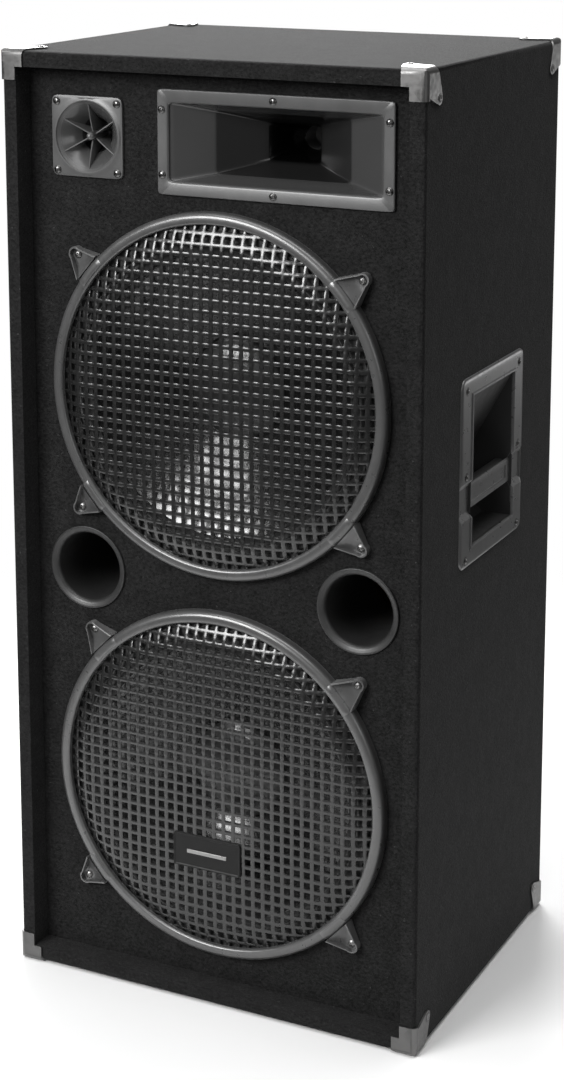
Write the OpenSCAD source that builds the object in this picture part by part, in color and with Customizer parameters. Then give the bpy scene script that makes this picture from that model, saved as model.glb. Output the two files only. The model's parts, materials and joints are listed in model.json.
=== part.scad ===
// Passive three-way public-address tower: a carpet-covered plywood box with two 15 inch
// woofers behind pressed waffle grilles, a rectangular horn, a bullet tweeter, two reflex
// ports, recessed bar handles in both sides and a socket dish in the back.
// Front faces -Y, +X is the right-hand side seen from the front, +Z is up.
// The origin is on the floor at the centre of the footprint. Millimetres throughout.

/* [Cabinet] */
// Overall width over the corner protectors
width = 488; // [480:1:520]
// Overall depth over the corner protectors
depth = 390; // [380:1:430]
// Overall height over the corner protectors
height = 1036; // [1036:1:1060]
// Thickness of the plywood side, top, bottom and rear panels
panel_t = 13; // [12:0.5:15]
// Thickness of the front baffle board
baffle_t = 18; // [15:1:20]
// Thickness of the carpet covering
carpet_t = 2; // [1.5:0.5:2]
// How far the baffle sits behind the front rim
recess = 27; // [25:1:32]
// Radius of the carpeted outer edges
edge_r = 5; // [3:0.5:5]

/* [Woofers] */
// Height of the upper woofer's axis
upper_z = 678; // [676:1:679]
// Height of the lower woofer's axis
lower_z = 247; // [246:1:249]
// Cone travel each way from rest
cone_travel = 6; // [4:0.5:6]

/* [Grilles] */
// Outer radius of the grille ring
ring_r = 197; // [196.5:0.1:197.5]
// Width of the rolled ring
ring_w = 13; // [12.5:0.1:13.5]
// Height of the ring above the baffle carpet
ring_h = 12.5; // [12:0.1:13]
// Height of the waffle face above the baffle carpet at its centre
mesh_h = 17; // [16:0.1:18]

/* [Horns] */
// Sideways place of the rectangular horn's axis
horn_x = 66; // [62:1:68]
// Height of the horn and tweeter axes
horn_z = 944; // [942:1:946]
// Width of the rectangular horn's flange
horn_w = 268; // [264:1:270]
// Height of the rectangular horn's flange
horn_h = 110; // [108:1:112]
// Sideways place of the tweeter's axis
tweeter_x = -153; // [-155:1:-151]
// Side of the tweeter's square flange
tweeter_s = 86; // [84:1:88]

/* [Ports] */
// Sideways distance of each port from the centre line
port_x = 162; // [160:1:164]
// Height of the port axes
port_z = 469; // [467:1:471]
// Inner radius of a port tube
port_r = 38; // [36:0.5:38]
// Length of a port tube behind the baffle face
port_l = 120; // [90:1:130]

/* [Handles] */
// Height of the handle centres
handle_z = 602; // [598:1:608]
// Front-to-back size of a handle plate
handle_w = 182; // [178:1:186]
// Height of a handle plate
handle_h = 206; // [202:1:210]
// Depth of the hand cup
cup_d = 64; // [50:1:70]

/* [Hidden] */

$fn = 96;
e = 0.5;          // how far a cutter runs past the surface it opens
guard_t = 2;      // sheet thickness of the corner protectors

// Carpeted box, then plywood box, then cavity
hw = width / 2 - guard_t;
hd = depth / 2 - guard_t;
z0 = guard_t;
z1 = height - guard_t;
pw = hw - carpet_t;
pd = hd - carpet_t;
pz0 = z0 + carpet_t;
pz1 = z1 - carpet_t;
iw = pw - panel_t;
iz0 = pz0 + panel_t;
iz1 = pz1 - panel_t;
face_y = -hd + recess;            // carpeted front of the baffle
board_y = face_y + carpet_t;      // plywood front of the baffle
inner_y = board_y + baffle_t;     // plywood back of the baffle
back_y = pd - panel_t;            // inside of the rear panel

// Woofer radii and depths, depths counted forwards from the baffle carpet
woofer_zs = [upper_z, lower_z];
woofer_hole_r = 177;
frame_r = 191.5;
screw_pcd_r = 186;
woofer_screw_n = 8;
cone_r = 158;
coil_r = 38;
cone_neck = -58;
cap_r = 55;
plate_front = -88;
plate_back = -96;
magnet_back = -116;
steel_back = -124;
shelf = -64;

// Grille
mesh_t = 1.3;
ring_wall = 1.3;
ring_in = ring_r - ring_w;
bead_r = 5.5;
lip = 6.5;                        // height of the ring's inner lip and of the mesh edge
shoulder_r = 183;
crown_r = 156;
crown_h = 15;
clamp_angles = [[40, 140, 220, 320], [41, 135, 220, 317]];
clamp_screw_u = 217;

// Small screws
pan_r = 4;
pan_h = 2.2;
shank_r = 2;
shank_l = 12;
pilot_r = shank_r + 0.05;
flat_r = 3.8;
flat_h = 1.8;

// Badge
badge_w = 82;
badge_h = 38;
badge_x = -8;
badge_z = 171;
badge_back = mesh_h - 0.1;
badge_t = 1.8;
badge_stud_x = 30;

// Terminal dish
dish_z = 470;
dish_w = 176;
dish_h = 126;
dish_d = 26;
twist_x = 44;
twist_up = 22;
jack_up = -34;

tweeter_hole_r = 41;
horn_hole_w = 250;
horn_hole_h = 92;

// ---------- placing helpers ----------

// Local +Z points forwards out of the baffle, local Y is up
module on_baffle(x, z) {
    translate([x, face_y, z]) rotate([90, 0, 0]) children();
}

// Local +Z points backwards out of the rear carpet, local Y is up
module on_rear(x, z) {
    translate([x, hd, z]) rotate([-90, 0, 0]) mirror([0, 1, 0]) children();
}

// Local +Z points out of the side, local Y is up; side is -1 or 1
module on_side(side, y, z) {
    translate([side * hw, y, z]) rotate([90, 0, 90]) mirror([0, 0, side < 0 ? 1 : 0]) children();
}

module round_rect(w, h, r) {
    translate([-w / 2 + r, -h / 2]) square([w - 2 * r, h]);
    translate([-w / 2, -h / 2 + r]) square([w, h - 2 * r]);
    for (sx = [-1, 1], sy = [-1, 1])
        translate([sx * (w / 2 - r), sy * (h / 2 - r)]) circle(r);
}

module slab(x0, x1, y0, y1, za, zb) {
    translate([x0, y0, za]) cube([x1 - x0, y1 - y0, zb - za]);
}

// Box with all edges rounded, from three crossed extrusions
module soft_box(w, d, za, zb, r) {
    h = zb - za;
    translate([0, 0, za + h / 2]) intersection() {
        linear_extrude(h, center = true) round_rect(w, d, r);
        rotate([90, 0, 0]) linear_extrude(d, center = true) round_rect(w, h, r);
        rotate([90, 0, 90]) linear_extrude(w, center = true) round_rect(d, h, r);
    }
}

module pan_screw() {
    cylinder(h = pan_h, r1 = pan_r, r2 = pan_r * 0.7);
    translate([0, 0, -shank_l]) cylinder(h = shank_l, r = shank_r);
}

// Countersunk screw whose head ends flush with the top of the sheet it holds
module flat_screw() {
    translate([0, 0, guard_t - flat_h]) cylinder(h = flat_h, r1 = shank_r, r2 = flat_r);
    translate([0, 0, -shank_l]) cylinder(h = shank_l + guard_t - flat_h, r = shank_r);
}

module flat_hole() {
    pilot();
    translate([0, 0, guard_t - flat_h]) cylinder(h = flat_h + 0.01, r1 = pilot_r, r2 = flat_r + 0.06);
}

// ---------- wooden box ----------

module side_panel(side) {
    color("burlywood") difference() {
        slab(side > 0 ? iw : -pw, side > 0 ? pw : -iw, -pd, pd, pz0, pz1);
        on_side(side, 0, handle_z) handle_cutout(panel_t + carpet_t + e);
        on_side(side, 0, handle_z) handle_screw_places() pilot();
        corner_pilots();
    }
}

module end_panel(za, zb) {
    color("burlywood") difference() {
        slab(-iw, iw, -pd, pd, za, zb);
        corner_pilots();
    }
}

module front_baffle() {
    color("burlywood") difference() {
        slab(-iw, iw, board_y, inner_y, iz0, iz1);
        baffle_openings();
    }
}

module rear_panel() {
    color("burlywood") difference() {
        slab(-iw, iw, back_y, pd, iz0, iz1);
        on_rear(0, dish_z) dish_cutout();
        on_rear(0, dish_z) dish_screw_places() pilot();
        corner_pilots();
    }
}

batten = 20;
module batten_frame(ya) {
    for (side = [-1, 1])
        slab(side > 0 ? iw - batten : -iw, side > 0 ? iw : -iw + batten, ya, ya + batten, iz0, iz1);
    for (za = [iz0, iz1 - batten])
        slab(-iw + batten, iw - batten, ya, ya + batten, za, za + batten);
}

module corner_battens() {
    color("tan") {
        batten_frame(inner_y);
        batten_frame(back_y - batten);
    }
}

module cross_brace() {
    color("tan") slab(-iw, iw, 20, 60, port_z - 9, port_z + 9);
}

// ---------- carpet ----------

module carpet_wrap() {
    color([0.17, 0.17, 0.18]) difference() {
        union() {
            difference() {
                soft_box(2 * hw, 2 * hd, z0, z1, edge_r);
                slab(-pw, pw, -pd, hd + e, pz0, pz1);
            }
            slab(-iw, iw, -pd, board_y, iz0, iz1);
        }
        slab(-iw + carpet_t, iw - carpet_t, -hd - e, board_y + e, iz0 + carpet_t, iz1 - carpet_t);
        for (side = [-1, 1]) {
            on_side(side, 0, handle_z) handle_cutout(carpet_t + e);
            on_side(side, 0, handle_z) handle_screw_places() pilot();
        }
        corner_pilots();
    }
}

module carpet_front() {
    color([0.14, 0.14, 0.15]) difference() {
        slab(-iw + carpet_t, iw - carpet_t, face_y, board_y, iz0 + carpet_t, iz1 - carpet_t);
        baffle_openings();
    }
}

module carpet_rear() {
    color([0.17, 0.17, 0.18]) difference() {
        intersection() {
            slab(-pw, pw, pd, hd, pz0, pz1);
            soft_box(2 * hw, 2 * hd, z0, z1, edge_r);
        }
        on_rear(0, dish_z) dish_cutout();
        on_rear(0, dish_z) dish_screw_places() pilot();
        corner_pilots();
    }
}

// Everything that is cut through the baffle and its carpet
module baffle_openings() {
    through = carpet_t + baffle_t + e;
    for (z = woofer_zs) on_baffle(0, z) {
        translate([0, 0, -through]) cylinder(h = through + e, r = woofer_hole_r, $fn = 180);
        woofer_screw_places() pilot();
    }
    for (i = [0, 1]) on_baffle(0, woofer_zs[i]) clamp_places(i) translate([clamp_screw_u, 0, 0]) pilot();
    for (side = [-1, 1]) on_baffle(side * port_x, port_z)
        translate([0, 0, -through]) cylinder(h = through + e, r = port_r + 2.5);
    on_baffle(tweeter_x, horn_z) {
        translate([0, 0, -through]) cylinder(h = through + e, r = tweeter_hole_r);
        tweeter_screw_places() pilot();
    }
    on_baffle(horn_x, horn_z) {
        translate([0, 0, -through]) linear_extrude(through + e)
            square([horn_hole_w, horn_hole_h], center = true);
        horn_screw_places() pilot();
    }
}

module pilot() {
    translate([0, 0, -shank_l - e]) cylinder(h = shank_l + 3 * e + 3, r = pilot_r, $fn = 24);
}

// ---------- corner protectors ----------

tab_reach = 30;       // hole of a tab, measured along both edges from the corner
tab_r = 7;
flap_w = 26;

// Sheet outline of a tab that lies on a side, top, bottom or rear face
module tab_outline() {
    near = tab_reach - 0.47 * tab_r;
    far = tab_reach + 0.88 * tab_r;
    polygon([[-guard_t, -guard_t], [flap_w, -guard_t], [far, near], [near, far], [-guard_t, flap_w]]);
    translate([tab_reach, tab_reach]) circle(tab_r);
}

// Sheet outline of the flap that covers the front rim
module rim_outline() {
    rim = panel_t + 2 * carpet_t;
    square_to(flap_w, rim);
    square_to(rim, flap_w + 5);
}

module square_to(x, y) {
    translate([-guard_t, -guard_t]) square([x + guard_t, y + guard_t]);
}

// One protector in the corner where x, y and z all count inwards from the carpet
module protector_sheets(front) {
    translate([0, 0, -guard_t]) linear_extrude(guard_t + edge_r) tab_outline();
    rotate([90, 0, 90]) translate([0, 0, -guard_t]) linear_extrude(guard_t + edge_r) tab_outline();
    mirror([0, 1, 0]) rotate([90, 0, 0]) translate([0, 0, -guard_t])
        linear_extrude(guard_t + edge_r) if (front) rim_outline(); else tab_outline();
}

// Moves a corner piece to one of the eight corners
module at_corner(sx, sy, sz) {
    translate([sx * hw, sy * hd, sz > 0 ? z1 : z0])
        mirror([sx > 0 ? 1 : 0, 0, 0]) mirror([0, sy > 0 ? 1 : 0, 0]) mirror([0, 0, sz > 0 ? 1 : 0])
            children();
}

// Screw axes of one corner, each leaving the cabinet along local +Z
module corner_screw_places(front) {
    translate([tab_reach, tab_reach, 0]) rotate([180, 0, 0]) children();
    translate([0, tab_reach, tab_reach]) rotate([0, -90, 0]) children();
    if (!front) translate([tab_reach, 0, tab_reach]) rotate([90, 0, 0]) children();
}

module protectors(sy) {
    color("silver") for (sx = [-1, 1], sz = [-1, 1]) difference() {
        intersection() {
            at_corner(sx, sy, sz) protector_sheets(sy < 0);
            soft_box(width, depth, 0, height, edge_r + guard_t);
        }
        soft_box(2 * hw, 2 * hd, z0, z1, edge_r);
        at_corner(sx, sy, sz) corner_screw_places(sy < 0) flat_hole();
    }
}

module corner_screws() {
    color("gainsboro") for (sx = [-1, 1], sy = [-1, 1], sz = [-1, 1])
        at_corner(sx, sy, sz) corner_screw_places(sy < 0) flat_screw();
}

module corner_pilots() {
    for (sx = [-1, 1], sy = [-1, 1], sz = [-1, 1])
        at_corner(sx, sy, sz) corner_screw_places(sy < 0) pilot();
}

// ---------- bullet tweeter ----------

tweeter_t = 3;
throat_d = 38;        // depth of the tweeter's throat behind the baffle face
throat_r = 10;
mouth_r = 37.5;

// Radius of the tweeter flare at height w above the baffle face
function flare_r(w) = throat_r + (mouth_r - throat_r) * pow((w + throat_d) / (throat_d + tweeter_t), 1.6);
flare_steps = 12;
function flare_ws() = [for (i = [0:flare_steps]) -throat_d + i * (throat_d + tweeter_t) / flare_steps];

module tweeter_horn() {
    rim = 1.4;
    color([0.42, 0.42, 0.43]) on_baffle(tweeter_x, horn_z) difference() {
        union() {
            linear_extrude(tweeter_t) round_rect(tweeter_s, tweeter_s, 5);
            translate([0, 0, tweeter_t]) cylinder(h = rim, r = mouth_r + 3);
            rotate_extrude() polygon(concat([[throat_r, -throat_d - 4]],
                [for (w = flare_ws()) [flare_r(w), w]],
                [[mouth_r, tweeter_t], [40, tweeter_t], [40, -14], [26, -throat_d + 6], [26, -throat_d - 4]]));
        }
        rotate_extrude() polygon(concat([[0, -throat_d - 5], [throat_r, -throat_d - 5]],
            [for (w = flare_ws()) [flare_r(w), w]],
            [[mouth_r, tweeter_t + rim + e], [0, tweeter_t + rim + e]]));
        tweeter_screw_places() pilot();
    }
}

module tweeter_screw_places() {
    reach = 36.5;
    for (sx = [-1, 1], sy = [-1, 1]) translate([sx * reach, sy * reach, tweeter_t]) children();
}

module tweeter_phase_plug() {
    vane_n = 6;
    color([0.16, 0.16, 0.17]) on_baffle(tweeter_x, horn_z) {
        rotate_extrude() polygon([[0, -1], [3, -4], [6, -10], [7.5, -18], [6.5, -28], [3, -36], [0, -36]]);
        intersection() {
            for (i = [0:vane_n - 1]) rotate(30 + i * 360 / vane_n)
                translate([4, -0.8, -28]) cube([34, 1.6, 22]);
            rotate_extrude() polygon(concat([[0, -throat_d]],
                [for (w = flare_ws()) [flare_r(w) - 0.05, w]], [[0, tweeter_t]]));
        }
    }
}

module tweeter_driver() {
    can_r = 30;
    can_l = 30;
    color([0.2, 0.2, 0.2]) on_baffle(tweeter_x, horn_z) {
        translate([0, 0, -throat_d - 4 - can_l]) cylinder(h = can_l, r = can_r);
        for (sx = [-1, 1]) translate([sx * 10 - 2.4, -0.4, -throat_d - 4 - can_l - 8]) cube([4.8, 0.8, 8]);
    }
}

// ---------- rectangular horn ----------

horn_t = 4;
horn_open_w = 242;
horn_open_h = 82;
horn_mid_d = 48;       // depth of the rectangular throat
horn_end_d = 96;       // depth of the round exit
horn_wall = 3;
horn_n = 40;           // points round a section
kink = 0.39;           // share of the depth where the side walls bend inwards
kink_hw = 76;          // half width there
throat_hw = 29.5;      // half sizes of the rectangular throat
throat_hh = 20.5;
exit_r = 12.7;         // radius of the driver's one inch exit
driver_d = horn_end_d + 4;

function mix(a, b, t) = a + (b - a) * t;
// Half sizes and squareness of the horn section at share t from mouth to rectangular throat
function bell(t) = [
    t < kink ? mix(horn_open_w / 2, kink_hw, t / kink) : mix(kink_hw, throat_hw, (t - kink) / (1 - kink)),
    mix(horn_open_h / 2, throat_hh, t), 14];
// The same from the rectangular throat to the round exit
function neck(t) = [mix(throat_hw, exit_r, t), mix(throat_hh, exit_r, t), mix(14, 2, t)];
function section(s, grow, w) = [for (i = [0:horn_n - 1]) let (a = 360 * (i + 0.5) / horn_n)
    [(s[0] + grow) * sign(cos(a)) * pow(abs(cos(a)), 2 / s[2]),
     (s[1] + grow) * sign(sin(a)) * pow(abs(sin(a)), 2 / s[2]), w]];
bell_shares = [0.1, 0.2, kink, 0.6, 0.8, 1];
function horn_sections(grow) = concat(
    [for (t = bell_shares) section(bell(t), grow, mix(0, -horn_mid_d, t))],
    [for (t = [0.25, 0.5, 0.75, 1]) section(neck(t), grow, mix(-horn_mid_d, -horn_end_d, t))]);
function flip(list) = [for (i = [len(list) - 1:-1:0]) list[i]];

// Closed tube whose wall lies between two stacks of sections
module lofted_tube(inner, outer) {
    rings = concat(inner, flip(outer));
    count = len(rings);
    n = len(rings[0]);
    points = [for (ring = rings, p = ring) p];
    faces = [for (k = [0:count - 1], i = [0:n - 1])
        let (a = k * n, b = ((k + 1) % count) * n, j = (i + 1) % n) [b + i, b + j, a + j, a + i]];
    polyhedron(points, faces);
}

// Mouth flange, flare and driver flange as one moulding
module horn_flare() {
    flange = [horn_w / 2, horn_h / 2, 40];
    collar = [40, 40, 2];
    color([0.42, 0.42, 0.43]) on_baffle(horn_x, horn_z) difference() {
        lofted_tube(
            concat([section(bell(0), 0, horn_t)], horn_sections(0), [section(neck(1), 0, -driver_d)]),
            concat([section(flange, 0, horn_t), section(flange, 0, 0)], [section(bell(0), horn_wall, 0)],
                horn_sections(horn_wall), [section(collar, 0, -horn_end_d), section(collar, 0, -driver_d)]));
        horn_screw_places() pilot();
    }
}

module horn_screw_places() {
    for (sx = [-1, 1], sy = [-1, 1]) translate([sx * (horn_w / 2 - 5.6), sy * 34, horn_t]) children();
    for (sy = [-1, 1]) translate([0, sy * (horn_h / 2 - 6.6), horn_t]) children();
}

module horn_driver() {
    color([0.3, 0.3, 0.32]) on_baffle(horn_x, horn_z) {
        translate([0, 0, -driver_d - 8]) difference() {
            cylinder(h = 8, r = 45);
            translate([0, 0, -e]) cylinder(h = 8 + 2 * e, r = exit_r);
        }
        rotate_extrude() polygon([[exit_r, -driver_d - 8], [20, -driver_d - 8], [20, -driver_d - 24],
            [exit_r, -driver_d - 24]]);
        translate([0, 0, -driver_d - 50]) difference() {
            cylinder(h = 26, r = 40);
            translate([0, 0, 3]) cylinder(h = 23 + e, r = 36);
        }
    }
}

module horn_driver_magnet() {
    color([0.13, 0.13, 0.14]) on_baffle(horn_x, horn_z) translate([0, 0, -driver_d - 24]) difference() {
        cylinder(h = 16, r = 44);
        translate([0, 0, -e]) cylinder(h = 16 + 2 * e, r = 24);
    }
}

module horn_diaphragm() {
    dome = 9;
    color([0.75, 0.75, 0.78]) on_baffle(horn_x, horn_z) translate([0, 0, -driver_d - 26]) rotate_extrude()
        polygon(concat([for (i = [0:8]) [22 * sin(i * 11.25), -dome * cos(i * 11.25)]], [[26, 0], [26, -0.5]],
            [for (i = [8:-1:0]) [22 * sin(i * 11.25), -0.5 - dome * cos(i * 11.25)]]));
}

// ---------- woofers ----------

module woofer_screw_places() {
    for (i = [0:woofer_screw_n - 1])
        rotate((i + 0.5) * 360 / woofer_screw_n) translate([screw_pcd_r, 0, 2]) children();
}

module basket(z) {
    spokes = 8;
    color([0.22, 0.22, 0.23]) on_baffle(0, z) difference() {
        rotate_extrude($fn = 180) polygon([
            [frame_r, 0], [174, 0], [174, -9], [102.5, shelf - 2], [88, shelf - 2], [80, plate_front],
            [42, plate_front], [42, plate_front + 2], [78.5, plate_front + 2], [86.5, shelf],
            [101.5, shelf], [172, -8], [172, 0], [168, 0], [168, 2], [frame_r, 2]]);
        for (i = [0:spokes - 1]) rotate(i * 360 / spokes) translate([0, 0, shelf + 3])
            linear_extrude(-shelf - 14) polygon([[108, -28], [164, -42], [166, 0], [164, 42], [108, 28]]);
        woofer_screw_places() pilot();
    }
}

// Height of the cone's face at radius r
function cone_w(r) = cone_neck * (1 - pow((r - coil_r) / (cone_r - 6 - coil_r), 0.8));
cone_steps = 12;
function cone_rs() = [for (i = [0:cone_steps]) coil_r + i * (cone_r - 6 - coil_r) / cone_steps];

module cone(z) {
    cone_t = 1.2;
    color([0.12, 0.12, 0.13]) on_baffle(0, z) rotate_extrude($fn = 180) polygon(concat(
        [for (r = cone_rs()) [r, cone_w(r) - cone_t]], [[cone_r, -cone_t], [cone_r, 0]],
        [for (i = [cone_steps:-1:0]) [cone_rs()[i], cone_w(cone_rs()[i])]]));
}

module dust_cap(z) {
    rise = 17;
    foot = cone_w(cap_r) + 0.05;
    steps = 10;
    color([0.1, 0.1, 0.11]) on_baffle(0, z) rotate_extrude() polygon(concat(
        [for (i = [0:steps]) [(cap_r - 1) * sin(i * 90 / steps), foot + (rise - 1) * cos(i * 90 / steps)]],
        [for (i = [steps:-1:0]) [cap_r * sin(i * 90 / steps), foot + rise * cos(i * 90 / steps)]]));
}

// Former with a winding long enough to stay in the gap over the whole travel
module voice_coil(z) {
    mid = (plate_front + plate_back) / 2;
    half = (plate_front - plate_back) / 2 + cone_travel - 1;
    outer = coil_r - 0.05;
    color([0.72, 0.45, 0.2]) on_baffle(0, z) rotate_extrude() polygon([[outer - 0.45, mid - half - 5],
        [outer, mid - half - 5], [outer, mid - half], [outer + 0.65, mid - half], [outer + 0.65, mid + half],
        [outer, mid + half], [outer, cone_neck + 1], [outer - 0.45, cone_neck + 1]]);
}

// Pleated ring between radii ra and rb, with waves of the given height on a rising base
function pleat(ra, rb, wa, wb, waves, high) = [for (i = [0:8 * waves]) let (t = i / (8 * waves))
    [mix(ra, rb, t), mix(wa, wb, t) + high * abs(sin(180 * waves * t))]];

module pleated_ring(ra, rb, wa, wb, waves, high, foot_a, foot_b, t) {
    line = concat([[ra - foot_a, wa]], pleat(ra, rb, wa, wb, waves, high), [[rb + foot_b, wb]]);
    rotate_extrude($fn = 180)
        polygon(concat(line, [for (i = [len(line) - 1:-1:0]) [line[i][0], line[i][1] + t]]));
}

module surround(z) {
    color([0.13, 0.12, 0.12]) on_baffle(0, z) pleated_ring(cone_r, 169, 0, 2, 2, 2.6, 5, 10, 0.7);
}

module spider(z) {
    color([0.7, 0.6, 0.35]) on_baffle(0, z) pleated_ring(44, 88, -63.6, shelf, 6, 2.2, 5.9, 11, 0.5);
}

module top_plate() {
    difference() {
        translate([0, 0, plate_back]) cylinder(h = plate_front - plate_back, r = 75);
        translate([0, 0, plate_back - e]) cylinder(h = plate_front - plate_back + 2 * e, r = 39.5);
    }
}

module pole_piece() {
    difference() {
        union() {
            translate([0, 0, steel_back]) cylinder(h = magnet_back - steel_back, r = 76);
            translate([0, 0, magnet_back]) cylinder(h = plate_front + 1 - magnet_back, r = 36.6);
        }
        translate([0, 0, steel_back - e]) cylinder(h = 60, r = 12);
    }
}

module motor_steel(z) {
    color([0.5, 0.5, 0.52]) on_baffle(0, z) {
        top_plate();
        pole_piece();
    }
}

module magnet(z) {
    color([0.13, 0.13, 0.14]) on_baffle(0, z) translate([0, 0, magnet_back]) difference() {
        cylinder(h = plate_back - magnet_back, r = 85);
        translate([0, 0, -e]) cylinder(h = plate_back - magnet_back + 2 * e, r = 48);
    }
}

module woofer_gaskets() {
    color([0.08, 0.08, 0.08]) for (z = woofer_zs) on_baffle(0, z) translate([0, 0, 2.7]) difference() {
        cylinder(h = 2, r = 179, $fn = 180);
        translate([0, 0, -e]) cylinder(h = 2 + 2 * e, r = 171, $fn = 180);
    }
}

module woofer_screws() {
    color([0.1, 0.1, 0.1]) for (z = woofer_zs) on_baffle(0, z) woofer_screw_places() {
        cylinder(h = 1.8, r = 3.6);
        translate([0, 0, -shank_l]) cylinder(h = shank_l, r = shank_r);
    }
}

// ---------- grilles ----------

function arc(cx, cy, r, a0, a1, n) =
    [for (i = [0:n]) let (a = mix(a0, a1, i / n)) [cx + r * cos(a), cy + r * sin(a)]];

module grille_ring(z) {
    low = ring_h - bead_r;
    color([0.4, 0.4, 0.41]) on_baffle(0, z) rotate_extrude($fn = 180) polygon(concat(
        [[ring_r, 0]], arc(ring_r - bead_r, low, bead_r, 0, 90, 8),
        arc(ring_in + bead_r, low, bead_r, 90, 180, 8), [[ring_in, lip], [ring_in + ring_wall, lip]],
        arc(ring_in + bead_r, low, bead_r - ring_wall, 180, 90, 8),
        arc(ring_r - bead_r, low, bead_r - ring_wall, 90, 0, 8), [[ring_r - ring_wall, 0]]));
}

// Front of the waffle face at radius r
function mesh_w(r) = r >= shoulder_r ? lip
    : r >= crown_r ? lip + (crown_h - lip) * sin(90 * (shoulder_r - r) / (shoulder_r - crown_r))
    : crown_h + (mesh_h - crown_h) * (1 - pow(r / crown_r, 2));
mesh_rs = [0, 30, 60, 90, 120, 140, 156, 162, 168, 173, 178, 183, 187];

module grille_mesh(z, studs) {
    color([0.35, 0.35, 0.36]) on_baffle(0, z) difference() {
        rotate_extrude($fn = 180) polygon(concat([for (r = mesh_rs) [r, mesh_w(r)]],
            [for (r = flip(mesh_rs)) [r, mesh_w(r) - mesh_t]]));
        if (studs) for (sx = [-1, 1])
            translate([badge_x + sx * badge_stud_x, badge_z - z, 0]) cylinder(h = 30, r = 1.55, $fn = 24);
    }
}

module clamp_places(i) {
    for (a = clamp_angles[i]) rotate(a) children();
}

// Triangular cast clamp: u runs outwards from the grille's axis, w up from the baffle carpet
module clamp() {
    base = ring_r + 2;
    translate([ring_r - 10, -18, ring_h + 0.05]) cube([12, 36, 2]);
    translate([ring_r + 0.2, -18, 0]) cube([1.8, 36, ring_h + 2.05]);
    difference() {
        linear_extrude(9) {
            polygon([[base, -18], [base, 18], [222.5, 6.7], [222.5, -6.7]]);
            translate([219, 0]) circle(7.5);
        }
        translate([0, 0, 3]) linear_extrude(9) {
            polygon([[base + 2, -14.2], [base + 2, 14.2], [221, 4.4], [221, -4.4]]);
            translate([219, 0]) circle(4.9);
        }
        translate([clamp_screw_u, 0, 0]) pilot();
    }
}

module grille_clamps() {
    color([0.33, 0.33, 0.34]) for (i = [0, 1]) on_baffle(0, woofer_zs[i]) clamp_places(i) clamp();
}

module clamp_screws() {
    color([0.75, 0.75, 0.77]) for (i = [0, 1]) on_baffle(0, woofer_zs[i]) clamp_places(i)
        translate([clamp_screw_u, 0, 0]) {
            translate([0, 0, 3]) cylinder(h = pan_h, r1 = pan_r, r2 = pan_r * 0.7);
            translate([0, 0, -shank_l]) cylinder(h = shank_l + 3, r = shank_r);
        }
}

module badge() {
    color([0.06, 0.06, 0.06]) on_baffle(badge_x, badge_z) translate([0, 0, badge_back]) {
        difference() {
            linear_extrude(badge_t) round_rect(badge_w, badge_h, 2);
            translate([0, 0, badge_t - 0.6])
                linear_extrude(badge_t) round_rect(badge_w - 5, badge_h - 5, 1.5);
        }
        for (sx = [-1, 1]) translate([sx * badge_stud_x, 0, -4]) cylinder(h = 4, r = 1.5);
    }
}

// ---------- ports ----------

module port_tube(side) {
    lip_r = port_r + 8;
    color([0.15, 0.15, 0.16]) on_baffle(side * port_x, port_z) rotate_extrude() polygon(concat(
        [[port_r, -port_l]], arc(port_r + 6, -5, 6, 180, 100, 6), arc(lip_r - 3.5, 0.4, 3.5, 80, 0, 5),
        [[lip_r, 0], [port_r + 2, 0], [port_r + 2, -port_l]]));
}

// ---------- handles ----------

plate_t = guard_t;       // the handle plate stands as proud as the corner protectors
open_w = 120;            // front-to-back size of both openings
open_lo = -81;           // foot of the lower opening, from the handle centre
open_hi = 81;            // head of the upper opening
bar_lo = -43;
bar_hi = -16;
band_slope = 7;          // height of the slopes above and below the sunk band
band_d = 4;              // how far the band is sunk
cup_back = -38;          // where the cup's sloping ceiling meets its back wall
grip_t = 18;
cup_wall = 2.5;

// Hole in the side for the cup and for the sunk band that carries the bar
module handle_cutout(deep) {
    translate([0, 0, -deep]) linear_extrude(deep + e)
        square([open_w + 2 * cup_wall + 1, open_hi - open_lo + 2 * cup_wall + 1], center = true);
    rebate = band_d + 0.1;
    translate([-handle_w / 2, bar_lo - band_slope - 1, -rebate])
        cube([handle_w, bar_hi - bar_lo + 2 * band_slope + 2, rebate + e]);
}

module handle_screw_places() {
    for (sy = [-1, 1], v = [-94, -3, 89]) translate([sy * 76, v, 0]) children();
}

// Extrudes a side view (x outwards, y up) along the front-to-back direction
module across(w) {
    rotate([0, -90, 0]) linear_extrude(w, center = true) children();
}

// Side view of the pressed plate, with its sunk band behind the bar
module plate_profile() {
    h = handle_h / 2;
    lo = bar_lo - band_slope;
    hi = bar_hi + band_slope;
    front = plate_t - band_d;
    polygon([[plate_t, -h], [plate_t, lo], [front, bar_lo], [front, bar_hi], [plate_t, hi], [plate_t, h],
             [0, h], [0, hi], [-band_d, bar_hi], [-band_d, bar_lo], [0, lo], [0, -h]]);
}

// Side view of the cup, grown by a wall thickness and open at x = mouth
module cup_profile(grow, mouth) {
    polygon([[mouth, open_lo - grow], [-cup_d / 2, open_lo - grow], [-cup_d - grow, open_lo + 24 - grow],
             [-cup_d - grow, cup_back + grow], [0, open_hi + grow], [mouth, open_hi + grow]]);
}

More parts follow.
